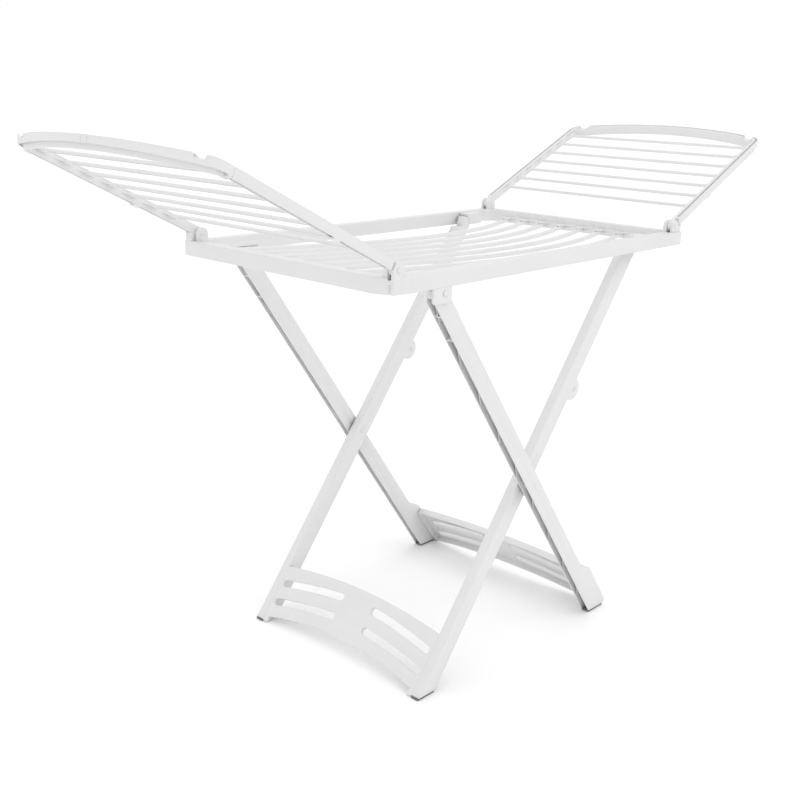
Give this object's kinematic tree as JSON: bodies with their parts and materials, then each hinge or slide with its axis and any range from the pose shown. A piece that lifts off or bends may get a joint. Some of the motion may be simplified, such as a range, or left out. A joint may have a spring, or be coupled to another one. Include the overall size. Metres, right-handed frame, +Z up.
{
  "type": "clothes drying rack",
  "caption": "Free-standing folding drying rack in white moulded plastic: sagging rails in a rectangular frame, a raised hinged wing at each short end, and crossed folding legs.",
  "frame": {"origin": "on the floor, under the middle of the whole rack as it stands open with both wings raised", "axes": "+Z up, +X along the long side from the left wing to the right wing, +Y across the rack, away from the side that faces the viewer"},
  "size_m": [1.7382, 0.5524, 1.0834],
  "materials": {
    "frame_plastic": "white moulded polypropylene, satin with a fine moulding texture",
    "rail_plastic": "white moulded polypropylene rails, satin",
    "leg_plastic": "white moulded polypropylene with ribbed channels, satin",
    "pin_plastic": "white moulded pivot pins, smooth",
    "foot_rubber": "dark grey rubber foot pads, matt"
  },
  "bodies": {
    "centre_frame": {"centre_rail_1": "rail_plastic", "centre_rail_2": "rail_plastic", "centre_rail_3": "rail_plastic", "centre_rail_4": "rail_plastic", "centre_rail_5": "rail_plastic", "centre_rail_6": "rail_plastic", "centre_rail_7": "rail_plastic", "centre_rail_8": "rail_plastic", "end_bar_left": "frame_plastic", "end_bar_right": "frame_plastic", "frame_pivot_pins": "pin_plastic", "leg_head_seats": "frame_plastic", "leg_pivot_lugs": "frame_plastic", "side_bar_far": "frame_plastic", "side_bar_near": "frame_plastic", "wing_hinge_brackets_left": "frame_plastic", "wing_hinge_brackets_right": "frame_plastic", "wing_hinge_pins_left": "pin_plastic", "wing_hinge_pins_right": "pin_plastic"},
    "left_wing": {"left_wing_arm_far": "frame_plastic", "left_wing_arm_near": "frame_plastic", "left_wing_outer_bar": "frame_plastic", "left_wing_rail_1": "rail_plastic", "left_wing_rail_2": "rail_plastic", "left_wing_rail_3": "rail_plastic", "left_wing_rail_4": "rail_plastic", "left_wing_rail_5": "rail_plastic", "left_wing_rail_6": "rail_plastic", "left_wing_rail_7": "rail_plastic"},
    "right_wing": {"right_wing_arm_far": "frame_plastic", "right_wing_arm_near": "frame_plastic", "right_wing_outer_bar": "frame_plastic", "right_wing_rail_1": "rail_plastic", "right_wing_rail_2": "rail_plastic", "right_wing_rail_3": "rail_plastic", "right_wing_rail_4": "rail_plastic", "right_wing_rail_5": "rail_plastic", "right_wing_rail_6": "rail_plastic", "right_wing_rail_7": "rail_plastic"},
    "outer_legs": {"cross_pivot_pins": "pin_plastic", "outer_foot_pads": "foot_rubber", "outer_foot_panel": "leg_plastic", "outer_leg_far": "leg_plastic", "outer_leg_near": "leg_plastic"},
    "inner_legs": {"inner_foot_pads": "foot_rubber", "inner_foot_panel": "leg_plastic", "inner_leg_far": "leg_plastic", "inner_leg_near": "leg_plastic"}
  },
  "joints": [
    {"name": "left_wing_hinge", "type": "hinge", "parent": "centre_frame", "child": "left_wing", "pos_m": [-0.45853, 0, 0.8715], "axis": [0, 1, 0], "range_deg": [0, 152.7]},
    {"name": "right_wing_hinge", "type": "hinge", "parent": "centre_frame", "child": "right_wing", "pos_m": [0.45247, 0, 0.8715], "axis": [0, -1, 0], "range_deg": [0, 150]},
    {"name": "leg_fold", "type": "hinge", "parent": "centre_frame", "child": "outer_legs", "pos_m": [-0.3414, 0, 0.81949], "axis": [0, -1, 0], "range_deg": [0, 53.5]},
    {"name": "leg_cross", "type": "hinge", "parent": "outer_legs", "child": "inner_legs", "pos_m": [-0.02683, 0, 0.3795], "axis": [0, -1, 0], "range_deg": [0, 73.7]}
  ],
  "couplings": [
    {"joint": "leg_cross", "follows": "leg_fold", "ratio": 1.3773}
  ]
}
